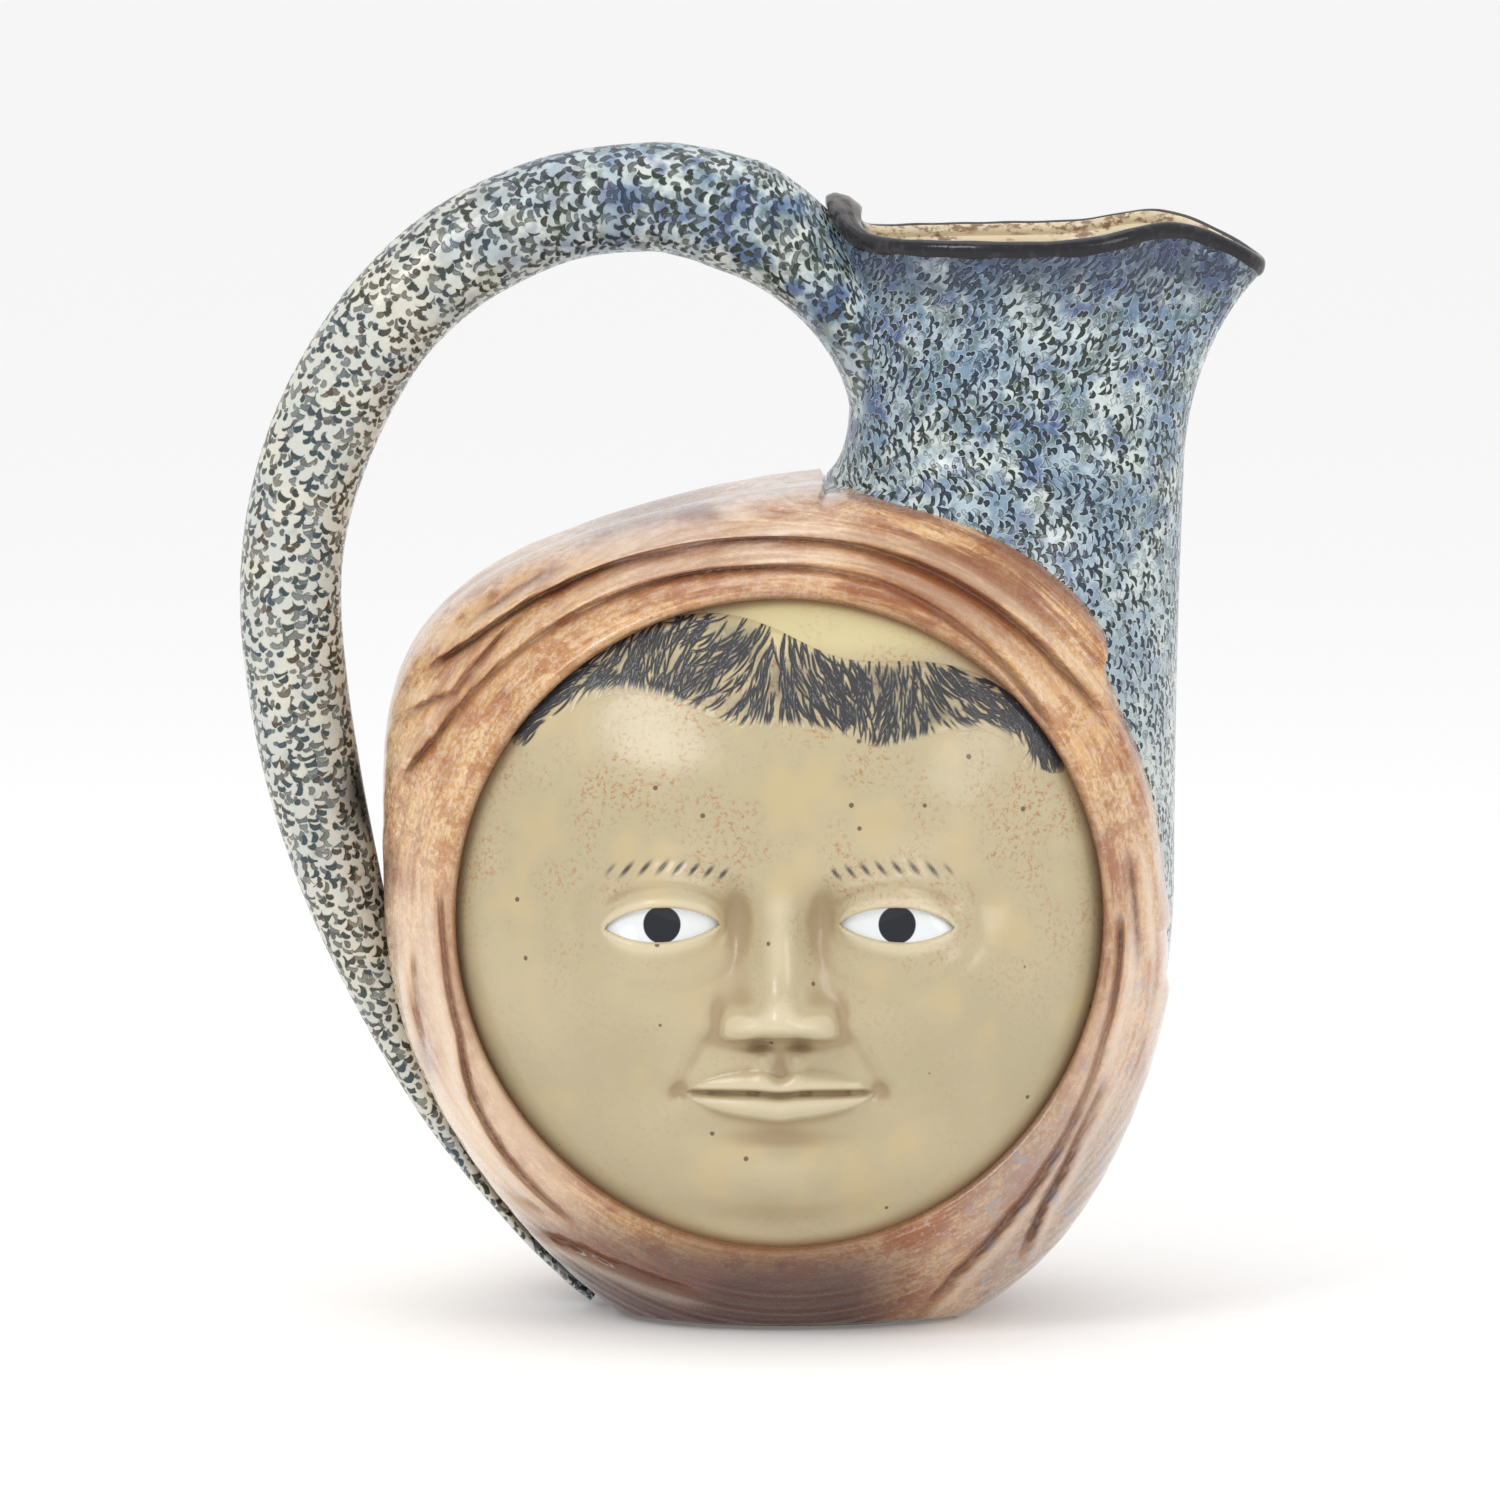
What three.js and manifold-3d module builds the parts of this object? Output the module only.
// A stoneware face jug: a thrown belly and neck, a pulled loop handle, and on each flat side a hooded face.
// Each mesh is one of the clay parts that are luted together before the single firing.
// Millimetres. The origin is the centre of the foot's flat underside, +Z up, +X towards the spout,
// the handle towards -X and the two faces towards -Y (front) and +Y (back).
import * as THREE from 'three';
import { ParametricGeometry } from 'three/addons/geometries/ParametricGeometry.js';
import { mergeVertices } from 'three/addons/utils/BufferGeometryUtils.js';
import Module from 'manifold-3d';

const wasm = await Module();
wasm.setup();

// Heights above the table
const BELLY_HEIGHT = 84; // the widest level of the belly
const BODY_HEIGHT = 157; // the seam where the neck is set on the shoulder
const RIM_HEIGHT = 200; // the lowest part of the pouring edge

// Half widths and depths of the body
const FOOT_HALF_WIDTH = 30.5;
const FOOT_HALF_DEPTH = 26;
const BELLY_BACK = 75; // from the axis of the foot to the belly, on the handle side
const BELLY_FRONT = 72.6; // the same, on the spout side
const BELLY_HALF_DEPTH = 52.5;
const SHOULDER_FRONT = 74.1; // where the straight throat passes the neck's seam
const BODY_SQUARENESS = 2.2; // superellipse exponent of the belly's cross-section

// Neck, mouth and spout
const NECK_BACK = 12; // the handle side of the neck, which stands off the foot's axis
const NECK_ROOT_FLARE = 8; // how far the neck's root spreads over the shoulder
const NECK_HALF_DEPTH = 26.3;
const ROOT_FADE = 4.5; // height in which that flare dies away
const RIM_FRONT = 81.5;
const RIM_BACK_FLARE = 3.5;
const RIM_DEPTH_FLARE = 2.2;
const SPOUT_REACH = 7.4; // the spout's tip beyond the round of the rim
const SPOUT_DROP = 4.6; // the tip lies lower than the rim
const SPOUT_PINCH = 0.16; // how much the thumbs narrow the rim behind the tip
const CHEEK_RISE = 5; // the two rises beside the spout
const THUMB_RISE = 6; // the rise at the handle

// Walls, seams and the lip
const WALL = 5.5;
const LIP_WALL = 3.8;
const FLOOR = 7;
const FLOOR_UPSTAND = 1; // the base slab's turned-up edge
const SEAM = 0.35; // the joint line between two parts
const LIP_BEAD_HEIGHT = 2.6;
const BEDDING = 3; // how deep a laid-on part starts in the wall before it is cut back to its seam

// Handle: a pulled round strap whose tail is smoothed down the back of the belly
const HANDLE_RADIUS = 9.7;
const HANDLE_ROOT_RADIUS = 13.5;
const HANDLE_TAIL_RADIUS = 3;
const HANDLE_STANDOFF = 16.4; // centre line, beyond the widest part of the belly's back
const HANDLE_TUCK = 3.7; // how far it comes in again where it meets the hoods
const HANDLE_TOP = 208.9; // centre line
const HANDLE_ROOT_HEIGHT = 187;
const HANDLE_CROWN_X = -25; // where the loop is highest
const HANDLE_TAIL_PROUD = 6; // how far the tail's centre line stands off the belly at its start
const HANDLE_TAIL_HEIGHT = 2.2; // where the tail ends above the table

// Hooded face on each side
const FACE_X = -1.5;
const FACE_HEIGHT = 78;
const FACE_RADIUS = 59.5;
const MASK_CENTRE_THICKNESS = 7.5;
const MASK_EDGE_THICKNESS = 4.5;
const HEM_WIDTH = 7;
const HEM_THICKNESS = 7;
const MANTLE_THICKNESS = 4.6;
const MANTLE_EDGE_THICKNESS = 2.4;
const MANTLE_REACH = 81; // the hood's edge above the face, from the face's centre
const MANTLE_NOTCH = 4.5; // the step where the hood's brim ends beside the throat
const MANTLE_BOTTOM = 3; // the hood's lower edge above the table
const THROAT_HALF_WIDTH = 24; // bare strip of the body between the two hoods, at its top
const THROAT_TOP = 118;
const THROAT_BOTTOM = 50;

// The face's features, on the proportions of a drawing manual: the height from hairline to chin in thirds
const FACE_THIRD = 29;
const BROW_HEIGHT = 10; // above the face's centre
const EYE_SPACING = 44; // centre to centre
const EYE_WIDTH = 19;
const EYE_HEIGHT = 11;
const EYE_DEPTH = 8;
const EYE_BED = 1; // clay behind the eyeball
const LID_WIDTH = 4;
const LID_THICKNESS = 3;
const NOSE_WIDTH = 20;
const NOSE_THICKNESS = 13;
const MOUTH_WIDTH = 36;
const LIP_WIDTH = 5.2;
const LIP_THICKNESS = 4.2;
const FRINGE_WIDTH = 13;
const FRINGE_THICKNESS = 2.6;
const FRINGE_RADIUS = 44; // of the arc that the fringe lies on, round the face's centre
const FRINGE_SPREAD = 65; // degrees to each side of the parting

// Facets
const TURN_FACETS = 36;
const HOOD_FACETS = 40;
const MASK_FACETS = 32;
const HANDLE_FACETS = 14;
const HANDLE_STEPS = 42;

const lerp = THREE.MathUtils.lerp;
const clamp = THREE.MathUtils.clamp;
const bump = (x, centre, width) => Math.exp(-(((x - centre) / width) ** 2));
const signedPower = (x, p) => Math.sign(x) * Math.abs(x) ** p;

// ---- Closed surfaces and cuts ----

// A closed solid from rows of points: each row is a function of the angle round the solid, and the
// first and last rows are single points, or the stack closes on itself when ring is true.
function stackRows(rows, facets, ring = false) {
  const stack = ring ? [...rows, rows[0]] : rows;
  const last = stack.length - 1;
  const surface = (u, v, target) => target.copy(stack[Math.round(v * last)]((u % 1) * 2 * Math.PI));
  return closeSurface(new ParametricGeometry(surface, facets, last));
}

// Merges the seams and poles of a geometry, drops the triangles that collapse there and turns it outwards.
function closeSurface(geometry) {
  geometry.deleteAttribute('normal');
  geometry.deleteAttribute('uv');
  const merged = mergeVertices(geometry, 1e-4);
  const index = merged.index.array;
  const kept = [];
  for (let i = 0; i < index.length; i += 3) {
    const [a, b, c] = [index[i], index[i + 1], index[i + 2]];
    if (a !== b && b !== c && c !== a) kept.push(a, b, c);
  }
  merged.setIndex(kept);
  if (signedVolume(merged) < 0) merged.setIndex(kept.reverse());
  return merged;
}

function signedVolume(geometry) {
  const p = geometry.getAttribute('position');
  const index = geometry.index.array;
  const [a, b, c] = [new THREE.Vector3(), new THREE.Vector3(), new THREE.Vector3()];
  let sum = 0;
  for (let i = 0; i < index.length; i += 3) {
    a.fromBufferAttribute(p, index[i]);
    b.fromBufferAttribute(p, index[i + 1]);
    c.fromBufferAttribute(p, index[i + 2]);
    sum += a.dot(b.cross(c));
  }
  return sum;
}

function toSolid(geometry) {
  const vertProperties = new Float32Array(geometry.getAttribute('position').array);
  const triVerts = new Uint32Array(geometry.index.array);
  return new wasm.Manifold(new wasm.Mesh({ numProp: 3, vertProperties, triVerts }));
}

function toGeometry(solid) {
  const mesh = solid.getMesh();
  return new THREE.BufferGeometry()
    .setAttribute('position', new THREE.BufferAttribute(new Float32Array(mesh.vertProperties), 3))
    .setIndex(new THREE.BufferAttribute(new Uint32Array(mesh.triVerts), 1));
}

function cut(geometry, ...cutters) {
  return toGeometry(cutters.reduce((left, cutter) => left.subtract(toSolid(cutter)), toSolid(geometry)));
}

// What lies between two heights.
function slice(geometry, low, high) {
  const reach = 4 * (BELLY_BACK + BELLY_FRONT);
  const box = new THREE.BoxGeometry(reach, reach, high - low).translate(0, 0, (low + high) / 2);
  return toGeometry(toSolid(geometry).intersect(toSolid(closeSurface(box))));
}

// ---- The thrown form: belly, shoulder and neck as one smooth surface ----

// Back and front edges and half depth of the outside at a height. Below the belly each is a
// superellipse arc from the foot, above it an arc over the shoulder, and the neck's root dies away upwards.
function edgesAt(z) {
  if (z <= BELLY_HEIGHT) {
    const rise = 1 - (1 - clamp(z / BELLY_HEIGHT, 0, 1)) ** 2.2;
    return {
      back: -lerp(FOOT_HALF_WIDTH, BELLY_BACK, rise ** 0.95),
      front: lerp(FOOT_HALF_WIDTH, BELLY_FRONT, rise ** 0.67),
      half: lerp(FOOT_HALF_DEPTH, BELLY_HALF_DEPTH, rise ** 0.6),
    };
  }
  const neckRoot = NECK_BACK - NECK_ROOT_FLARE;
  const rootDepth = NECK_HALF_DEPTH + 0.4 * NECK_ROOT_FLARE;
  if (z <= BODY_HEIGHT) {
    const u = (z - BELLY_HEIGHT) / (BODY_HEIGHT - BELLY_HEIGHT);
    return {
      back: lerp(neckRoot, -BELLY_BACK, Math.max(1 - u ** 3, 0) ** 0.68),
      front: lerp(BELLY_FRONT, SHOULDER_FRONT, u * u),
      half: lerp(BELLY_HALF_DEPTH, rootDepth, u ** 1.9),
    };
  }
  const w = (z - BODY_HEIGHT) / (RIM_HEIGHT - BODY_HEIGHT);
  const root = Math.exp((BODY_HEIGHT - z) / ROOT_FADE);
  return {
    back: NECK_BACK - NECK_ROOT_FLARE * root - RIM_BACK_FLARE * w ** 3,
    front: lerp(SHOULDER_FRONT, RIM_FRONT, w ** 1.8),
    half: NECK_HALF_DEPTH + 0.4 * NECK_ROOT_FLARE * root + RIM_DEPTH_FLARE * w ** 2.5,
  };
}

// A point of the outside, by the angle round the pot (0 at the spout) and the height before the lip is shaped.
function outside(angle, z) {
  const { back, front, half } = edgesAt(z);
  const w = clamp((z - BODY_HEIGHT) / (RIM_HEIGHT - BODY_HEIGHT), 0, 1);
  const power = 2 / lerp(BODY_SQUARENESS, 2, clamp((z - BELLY_HEIGHT) / (BODY_HEIGHT - BELLY_HEIGHT), 0, 1));
  const turn = Math.abs(Math.atan2(Math.sin(angle), Math.cos(angle)));
  const pull = SPOUT_REACH * w ** 2.2 * bump(turn, 0, 0.42);
  const pinch = 1 - SPOUT_PINCH * w ** 2 * bump(turn, 0.62, 0.36);
  const lift = CHEEK_RISE * bump(turn, 0.78, 0.4) + THUMB_RISE * bump(turn, Math.PI, 0.42) - SPOUT_DROP * bump(turn, 0, 0.38);
  const x = (front + back) / 2 + ((front - back) / 2) * signedPower(Math.cos(angle), power) + pull;
  return new THREE.Vector3(x, half * pinch * signedPower(Math.sin(angle), power), z + lift * w ** 3);
}

function outwardNormal(angle, z) {
  const da = 1e-3;
  const dz = 1e-2;
  const along = outside(angle + da, z).sub(outside(angle - da, z));
  const up = outside(angle, z + dz).sub(outside(angle, Math.max(z - dz, 0)));
  return along.cross(up).normalize();
}

function inside(angle, z) {
  const w = clamp((z - BODY_HEIGHT) / (RIM_HEIGHT - BODY_HEIGHT), 0, 1);
  return outside(angle, z).addScaledVector(outwardNormal(angle, z), -lerp(WALL, LIP_WALL, w ** 2));
}

// Heights of the rows, closer together where the form turns fast.
function rowHeights(lowest) {
  const quarter = (steps, f) => Array.from({ length: steps }, (_, i) => f((i / steps) * (Math.PI / 2)));
  const heel = quarter(7, (t) => BELLY_HEIGHT * (1 - Math.cos(t) ** (2 / 2.2)));
  const shoulder = quarter(8, (t) => BELLY_HEIGHT + (BODY_HEIGHT - BELLY_HEIGHT) * Math.sin(t) ** (2 / 3));
  const neckSteps = 6;
  const neck = Array.from({ length: neckSteps + 1 }, (_, i) => lerp(BODY_HEIGHT, RIM_HEIGHT, (i / neckSteps) ** 1.3));
  return [...heel, ...shoulder, ...neck].filter((z) => z >= lowest);
}

const pole = (x, y, z) => () => new THREE.Vector3(x, y, z);

// The whole pot as one wall: up the outside, over the lip, down the inside and across the floor.
function makeVessel() {
  const outer = rowHeights(0).map((z) => (a) => outside(a, z));
  const inner = rowHeights(FLOOR + WALL).reverse().map((z) => (a) => inside(a, z));
  const lowestInner = FLOOR + WALL;
  const floorEdge = (a) => {
    const p = inside(a, lowestInner);
    return new THREE.Vector3(0.93 * p.x, 0.93 * p.y, FLOOR);
  };
  return stackRows([pole(0, 0, 0), ...outer, ...inner, floorEdge, pole(0, 0, FLOOR)], TURN_FACETS);
}

// The dark bead that finishes the lip: flat below, round above, as wide as the lip.
function makeLipBead() {
  const arch = (share, height) => (a) => {
    const p = inside(a, RIM_HEIGHT).lerp(outside(a, RIM_HEIGHT), share);
    return p.setZ(p.z + SEAM + height);
  };
  const steps = 6;
  const top = Array.from({ length: steps + 1 }, (_, i) => {
    const t = (i / steps) * Math.PI;
    return arch(0.5 - 0.5 * Math.cos(t), 0.4 + (LIP_BEAD_HEIGHT - 0.4) * Math.sin(t));
  });
  return stackRows([arch(1, 0), arch(0, 0), ...top], HOOD_FACETS, true);
}

// ---- The handle ----

// Centre line in the pot's plane of symmetry: from inside the neck's wall, over the loop, and down the back of the belly.
function handlePath() {
  const tail = (z, proud) => [edgesAt(z).back - proud, z];
  const reach = -(BELLY_BACK + HANDLE_STANDOFF);
  const loopJoin = BELLY_HEIGHT + 0.2 * (BODY_HEIGHT - BELLY_HEIGHT);
  const points = [
    [NECK_BACK + 7, HANDLE_ROOT_HEIGHT],
    [NECK_BACK - 12, HANDLE_TOP - 5],
    [HANDLE_CROWN_X, HANDLE_TOP],
    [lerp(HANDLE_CROWN_X, reach, 0.5), HANDLE_TOP - 9.7],
    [lerp(HANDLE_CROWN_X, reach, 0.84), lerp(HANDLE_TOP, BODY_HEIGHT, 0.66)],
    [reach, lerp(BELLY_HEIGHT, BODY_HEIGHT, 0.7)],
    [reach + HANDLE_TUCK, loopJoin],
    tail(0.83 * BELLY_HEIGHT, HANDLE_TAIL_PROUD),
    tail(0.55 * BELLY_HEIGHT, 0.36 * HANDLE_TAIL_PROUD),
    tail(0.27 * BELLY_HEIGHT, 0.08 * HANDLE_TAIL_PROUD),
    tail(HANDLE_TAIL_HEIGHT, 0),
  ];
  return new THREE.CatmullRomCurve3(points.map(([x, z]) => new THREE.Vector3(x, 0, z)), false, 'centripetal');
}

function handleRadius(t) {
  const root = HANDLE_ROOT_RADIUS - HANDLE_RADIUS;
  const taper = THREE.MathUtils.smoothstep(t, 0.56, 0.88);
  return lerp(HANDLE_RADIUS, HANDLE_TAIL_RADIUS, taper) + root * bump(t, 0, 0.07);
}

// The handle's solid, grown all round by a clearance.
function makeHandleTube(grow) {
  const path = handlePath();
  const across = new THREE.Vector3(0, 1, 0);
  const rows = Array.from({ length: HANDLE_STEPS + 1 }, (_, i) => {
    const t = i / HANDLE_STEPS;
    const centre = path.getPointAt(t);
    const side = path.getTangentAt(t).cross(across).normalize();
    const r = handleRadius(t) + grow;
    return (a) => centre.clone().addScaledVector(side, r * Math.cos(a)).addScaledVector(across, r * Math.sin(a));
  });
  const cap = (t, sign) => {
    const p = path.getPointAt(t).addScaledVector(path.getTangentAt(t), sign * (grow + 0.3 * handleRadius(t)));
    return () => p.clone();
  };
  return stackRows([cap(0, -1), ...rows, cap(1, 1)], HANDLE_FACETS);
}

// The outside of the pot grown by a clearance, filled, as a cutter.
function makePotCutter(grow) {
  const rows = rowHeights(0).map((z) => (a) => outside(a, z).addScaledVector(outwardNormal(a, z), grow));
  const top = RIM_HEIGHT + THUMB_RISE + 3 * LIP_BEAD_HEIGHT;
  const above = (a) => outside(a, RIM_HEIGHT).addScaledVector(outwardNormal(a, RIM_HEIGHT), grow).setZ(top);
  const middle = (NECK_BACK + RIM_FRONT) / 2;
  return stackRows([pole(0, 0, -grow), ...rows, above, pole(middle, 0, top)], TURN_FACETS);
}

// ---- The hood and the face, laid on the front of the belly ----

// How far the belly's outside stands from the plane of symmetry, 0 outside the outline.
function depthAt(x, z) {
  const { back, front, half } = edgesAt(z);
  const share = Math.abs(x - (front + back) / 2) / ((front - back) / 2);
  const n = lerp(BODY_SQUARENESS, 2, clamp((z - BELLY_HEIGHT) / (BODY_HEIGHT - BELLY_HEIGHT), 0, 1));
  return share >= 1 ? 0 : half * (1 - share ** n) ** (1 / n);
}

// Outward normal of the belly's front at a point, from the slope of its superellipse sections.
function frontNormal(x, z) {
  const field = (px, py, pz) => {
    const { back, front, half } = edgesAt(pz);
    const n = lerp(BODY_SQUARENESS, 2, clamp((pz - BELLY_HEIGHT) / (BODY_HEIGHT - BELLY_HEIGHT), 0, 1));
    return Math.abs((2 * px - front - back) / (front - back)) ** n + Math.abs(py / half) ** n;
  };
  const y = -depthAt(x, z);
  const d = 1e-3;
  const slope = (dx, dy, dz) => field(x + dx, y + dy, z + dz) - field(x - dx, y - dy, z - dz);
  return new THREE.Vector3(slope(d, 0, 0), slope(0, d, 0), slope(0, 0, d)).normalize();
}

// Half width of the bare strip that the hoods leave: the throat under the spout, and only a seam elsewhere.
function bareHalfWidth(x, z) {
  const throat = x > 0 ? clamp((z - THROAT_BOTTOM) / (THROAT_TOP - THROAT_BOTTOM), 0, 1.3) : 0;
  return SEAM / 2 + THROAT_HALF_WIDTH * throat;
}

// The hood's outer edge in a direction from the face's centre (0 towards the spout, a quarter turn up).
// Towards the handle the hood wraps round to the seam between the two sides, however far off that is.
function mantleEdge(angle) {
  const notch = MANTLE_NOTCH * THREE.MathUtils.smoothstep(Math.cos(angle - 0.35), 0.86, 0.93);
  const stepped = Math.sin(angle) < 0.62 ? notch : 0;
  const wrap = BELLY_BACK * THREE.MathUtils.smoothstep(-Math.cos(angle), 0.1, 0.5);
  const limit = MANTLE_REACH - stepped + wrap;
  const covers = (r) => {
    const x = FACE_X + r * Math.cos(angle);
    const z = FACE_HEIGHT + r * Math.sin(angle);
    return r < limit && z > MANTLE_BOTTOM && depthAt(x, z) > bareHalfWidth(x, z);
  };
  let [low, high] = [FACE_RADIUS, 2 * (MANTLE_REACH + BELLY_BACK)];
  for (let i = 0; i < 40; i += 1) {
    const middle = (low + high) / 2;
    if (covers(middle)) low = middle;
    else high = middle;
  }
  return low;
}

// A point above the belly's front, by direction and distance from the face's centre, lifted off the clay
// along a blend from straight forward (lean 0) to the surface's own normal (lean 1).
function liftedPoint(angle, radius, lift, lean) {
  const x = FACE_X + radius * Math.cos(angle);
  const z = FACE_HEIGHT + radius * Math.sin(angle);
  const along = new THREE.Vector3(0, -1, 0).lerp(frontNormal(x, z), lean).normalize();
  return new THREE.Vector3(x, -depthAt(x, z), z).addScaledVector(along, lift);
}

// A collar of clay round the face: inner and outer edge by direction, and its thickness and lean by the share between them.
function makeCollar(inner, outer, thickness, lean, steps, facets) {
  const ring = (share, lift) => (a) => {
    const spread = Math.sin((share * Math.PI) / 2);
    return liftedPoint(a, lerp(inner(a), outer(a), spread), lift, lean(spread));
  };
  const shares = Array.from({ length: steps + 1 }, (_, i) => i / steps);
  const under = [ring(0, -BEDDING), ring(1, -BEDDING)];
  const over = shares.map((s) => ring(s, SEAM + thickness(s))).reverse();
  return cut(stackRows([...under, ...over], facets, true), makePotCutter(SEAM));
}

function makeHem() {
  const roll = (s) => lerp(MASK_EDGE_THICKNESS, HEM_THICKNESS, Math.sin(Math.PI * s) ** 0.7);
  return makeCollar(() => FACE_RADIUS + SEAM, () => FACE_RADIUS + HEM_WIDTH, roll, (s) => s, 4, HOOD_FACETS);
}

function makeMantle() {
  const inner = FACE_RADIUS + HEM_WIDTH + SEAM;
  const outer = (a) => Math.max(mantleEdge(a), inner + 2);
  const sheet = (s) => lerp(MANTLE_THICKNESS, MANTLE_EDGE_THICKNESS, s ** 1.5);
  return makeCollar(() => inner, outer, sheet, () => 1, 5, HOOD_FACETS);
}

// Distance of the mask's face from the plane of symmetry.
function maskDepth(x, z) {
  const share = Math.hypot(x - FACE_X, z - FACE_HEIGHT) / FACE_RADIUS;
  return depthAt(x, z) + SEAM + lerp(MASK_CENTRE_THICKNESS, MASK_EDGE_THICKNESS, Math.min(share, 1) ** 2);
}

function makeMask() {
  const at = (radius, depth) => (a) => {
    const x = FACE_X + radius * Math.cos(a);
    const z = FACE_HEIGHT + radius * Math.sin(a);
    return new THREE.Vector3(x, -depth(x, z), z);
  };
  const back = (x, z) => depthAt(x, z) - 2 * BEDDING;
  const rings = [0.35, 0.65, 0.86, 1].map((share) => share * FACE_RADIUS);
  const over = rings.map((r) => at(r, maskDepth)).reverse();
  const mask = stackRows([at(0, back), at(FACE_RADIUS, back), ...over, at(0, maskDepth)], MASK_FACETS);
  return cut(mask, makePotCutter(SEAM), makeEye(-1, SEAM), makeEye(1, SEAM));
}

// ---- Features luted on the mask; side is -1 or 1 across the face ----

function eyeCentre(side) {
  return [FACE_X + (side * EYE_SPACING) / 2, FACE_HEIGHT + BROW_HEIGHT - 0.3 * FACE_THIRD];
}

// An eyeball sunk into the mask until only its bed of clay is left behind it, grown by a clearance.
function makeEye(side, grow) {
  const [x, z] = eyeCentre(side);
  const ball = new THREE.SphereGeometry(1, 12, 8);
  ball.scale(EYE_WIDTH / 2 + grow, EYE_DEPTH / 2 + grow, EYE_HEIGHT / 2 + grow);
  return closeSurface(ball.translate(x, -(depthAt(x, z) + SEAM + EYE_BED + EYE_DEPTH / 2), z));
}

// A strip of clay along a line on the mask: flat against it and domed outside, narrowing to points at its ends.
function makeStrip(line, width, thickness, steps, sides = 8) {
  const curve = new THREE.CatmullRomCurve3(line.map(([x, z]) => new THREE.Vector3(x, 0, z)));
  const onMask = (x, z, lift) => new THREE.Vector3(x, -maskDepth(x, z) - SEAM - lift, z);
  const rows = Array.from({ length: steps - 1 }, (_, i) => {
    const t = (i + 1) / steps;
    const p = curve.getPointAt(t);
    const side = curve.getTangentAt(t).cross(new THREE.Vector3(0, 1, 0)).normalize();
    return (a) => {
      const across = (Math.cos(a) * width(t)) / 2;
      const dome = Math.max(Math.sin(a), 0) * thickness(t);
      return onMask(p.x + side.x * across, p.z + side.z * across, dome);
    };
  });
  const end = (t) => {
    const p = curve.getPointAt(t);
    return () => onMask(p.x, p.z, 0.2 * thickness(0.5));
  };
  return stackRows([end(0), ...rows, end(1)], sides);
}

const leaf = (size) => (t) => size * Math.sin(Math.PI * clamp(t, 0, 1)) ** 0.5;

function makeLid(side, up) {
  const [x, z] = eyeCentre(side);
  const margin = 2 * SEAM + LID_WIDTH / 2;
  const line = [20, 55, 90, 125, 160].map((degrees) => {
    const a = THREE.MathUtils.degToRad(degrees);
    return [x + (EYE_WIDTH / 2 + margin) * Math.cos(a), z + up * (EYE_HEIGHT / 2 + margin) * Math.sin(a)];
  });
  return makeStrip(line, leaf(LID_WIDTH), leaf(LID_THICKNESS), 8, 6);
}

function makeNose() {
  const top = FACE_HEIGHT + BROW_HEIGHT - 2;
  const base = FACE_HEIGHT + BROW_HEIGHT - FACE_THIRD;
  const width = (t) => NOSE_WIDTH * lerp(0.35, 1, t * t) * (t > 0.95 ? 0.6 : 1);
  const thickness = (t) => NOSE_THICKNESS * lerp(0.2, 1, t ** 1.3);
  return makeStrip([[FACE_X, top], [FACE_X, (top + base) / 2], [FACE_X, base]], width, thickness, 8, 10);
}

function makeLip(up) {
  const mouth = FACE_HEIGHT + BROW_HEIGHT - (4 / 3) * FACE_THIRD;
  const z = mouth + up * (LIP_WIDTH / 2 + SEAM);
  const droop = 1.5;
  const end = MOUTH_WIDTH / 2;
  const line = [[-end, z - up * droop], [-end / 2, z], [0, z + 0.3 * up], [end / 2, z], [end, z - up * droop]];
  return makeStrip(line.map(([x, h]) => [FACE_X + x, h]), leaf(LIP_WIDTH), leaf(LIP_THICKNESS), 10);
}

function makeFringe() {
  const line = [-1, -0.5, 0, 0.5, 1].map((share) => {
    const a = THREE.MathUtils.degToRad(90 + share * FRINGE_SPREAD);
    return [FACE_X + FRINGE_RADIUS * Math.cos(a), FACE_HEIGHT + FRINGE_RADIUS * Math.sin(a)];
  });
  return makeStrip(line, leaf(FRINGE_WIDTH), leaf(FRINGE_THICKNESS), 14);
}

// ---- The jug ----

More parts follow.
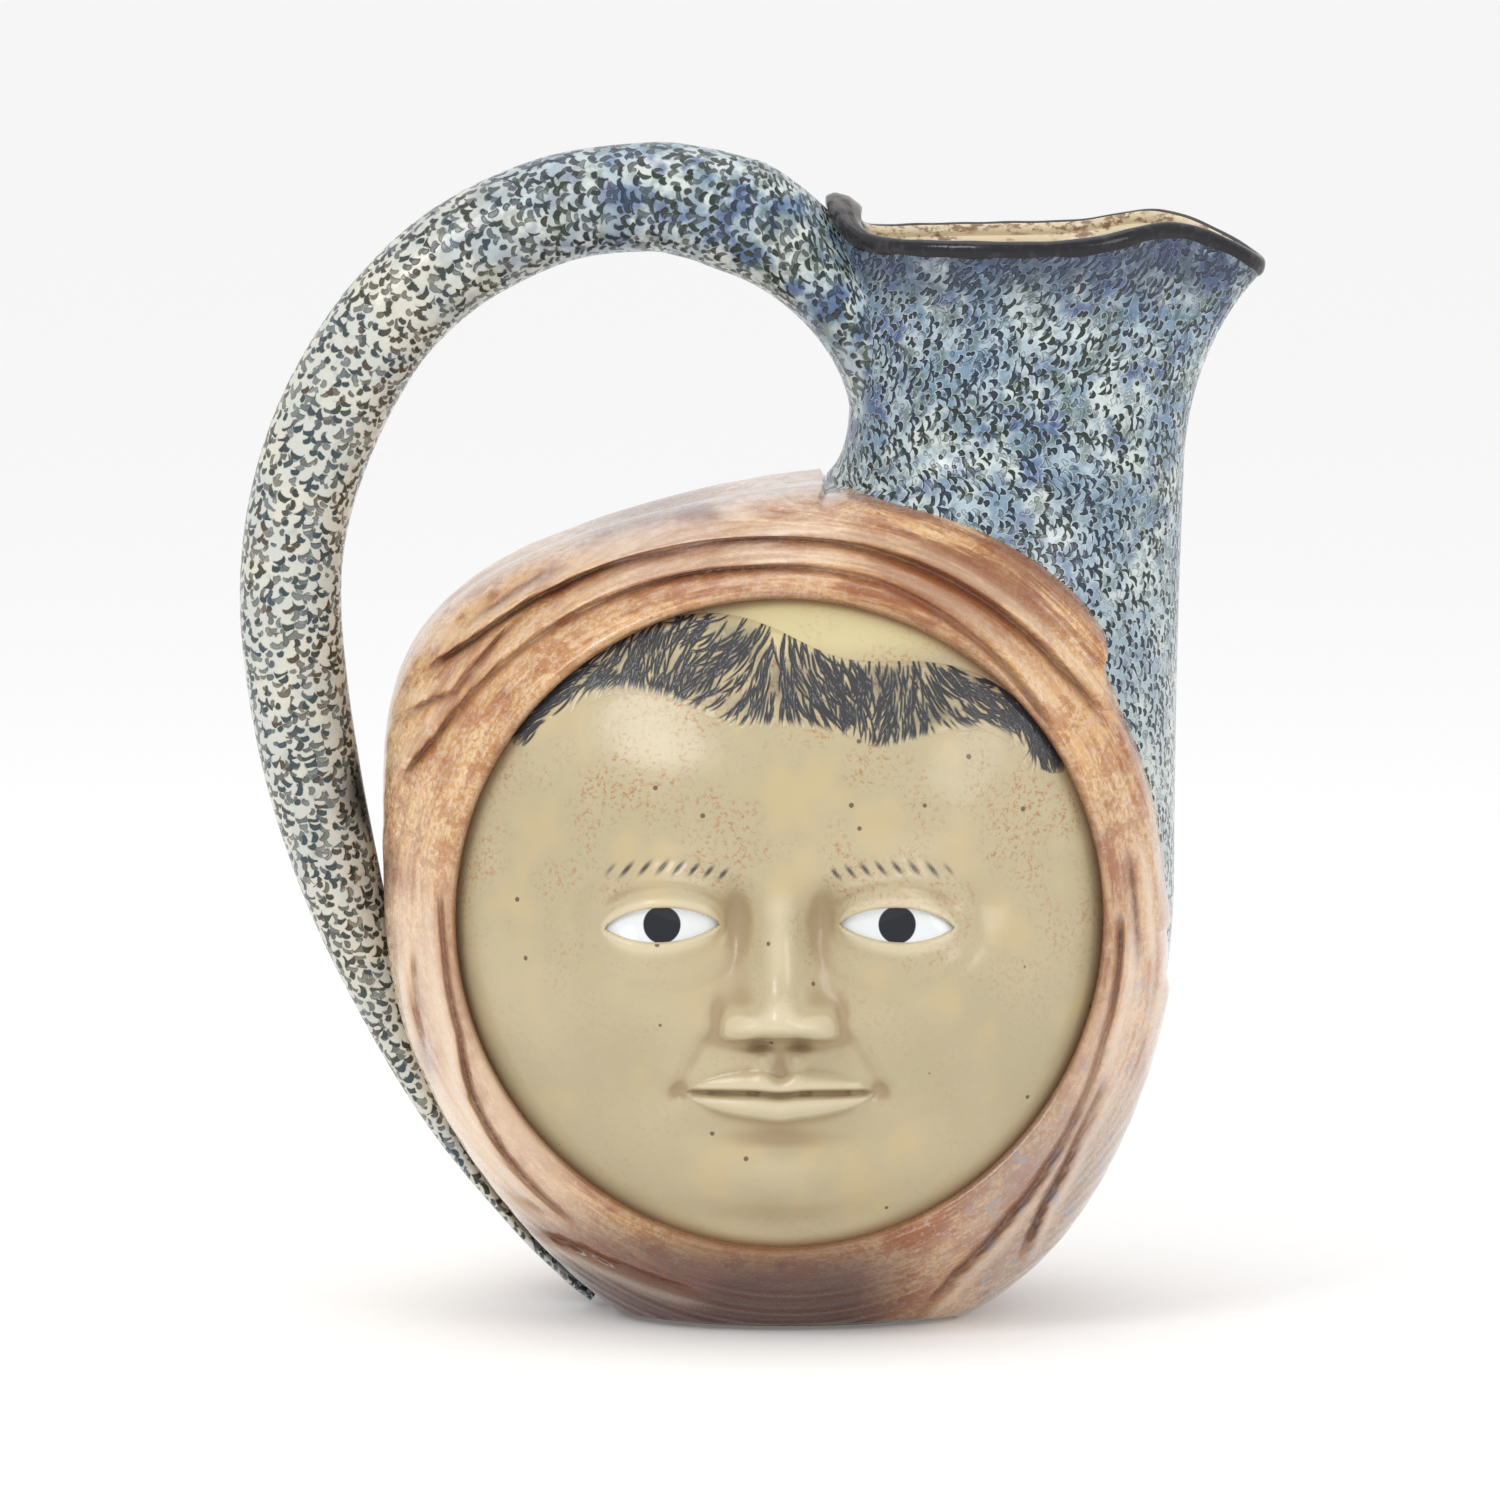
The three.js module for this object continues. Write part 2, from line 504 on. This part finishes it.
const glaze = (color, roughness) => new THREE.MeshStandardMaterial({ color, roughness, metalness: 0 });
const STIPPLED = glaze(0x8fa3a8, 0.28);
const LIP_BROWN = glaze(0x2b2524, 0.25);
const HOOD_BROWN = glaze(0xa8714a, 0.25);
const FLESH = glaze(0xcdbf97, 0.28);
const HAIR = glaze(0x5b5a58, 0.35);
const EYE_WHITE = glaze(0xe9edf0, 0.15);
const BARE_CLAY = glaze(0x9a8468, 0.8);

function part(name, geometry, material) {
  const mesh = new THREE.Mesh(geometry, material);
  mesh.name = name;
  return mesh;
}

function makePot(group) {
  const vessel = makeVessel();
  const baseTop = FLOOR + FLOOR_UPSTAND;
  const above = 2 * RIM_HEIGHT;
  group.add(part('base_slab', slice(vessel, -FLOOR, baseTop), BARE_CLAY));
  group.add(part('belly_wall', slice(vessel, baseTop + SEAM, BODY_HEIGHT), STIPPLED));
  group.add(part('neck_spout', slice(vessel, BODY_HEIGHT + SEAM, above), STIPPLED));
  group.add(part('lip_bead', makeLipBead(), LIP_BROWN));
}

// The clay parts of one side, built facing -Y.
function makeFaceSide(prefix) {
  const side = new THREE.Group();
  const add = (name, geometry, material) => side.add(part(`${prefix}_${name}`, geometry, material));
  add('hood_mantle', cut(makeMantle(), makeHandleTube(SEAM)), HOOD_BROWN);
  add('hood_hem', makeHem(), HOOD_BROWN);
  add('face_mask', makeMask(), FLESH);
  add('nose', makeNose(), FLESH);
  add('hair_fringe', makeFringe(), HAIR);
  add('upper_lip', makeLip(1), FLESH);
  add('lower_lip', makeLip(-1), FLESH);
  for (const [label, sign] of [['left', -1], ['right', 1]]) {
    add(`${label}_eye`, makeEye(sign, 0), EYE_WHITE);
    add(`${label}_upper_lid`, makeLid(sign, 1), FLESH);
    add(`${label}_lower_lid`, makeLid(sign, -1), FLESH);
  }
  return side;
}

const jug = new THREE.Group();
makePot(jug);
jug.add(part('handle', cut(makeHandleTube(0), makePotCutter(SEAM)), STIPPLED));
jug.add(makeFaceSide('front'));
const backSide = makeFaceSide('back');
backSide.scale.y = -1;
jug.add(backSide);

export default jug;
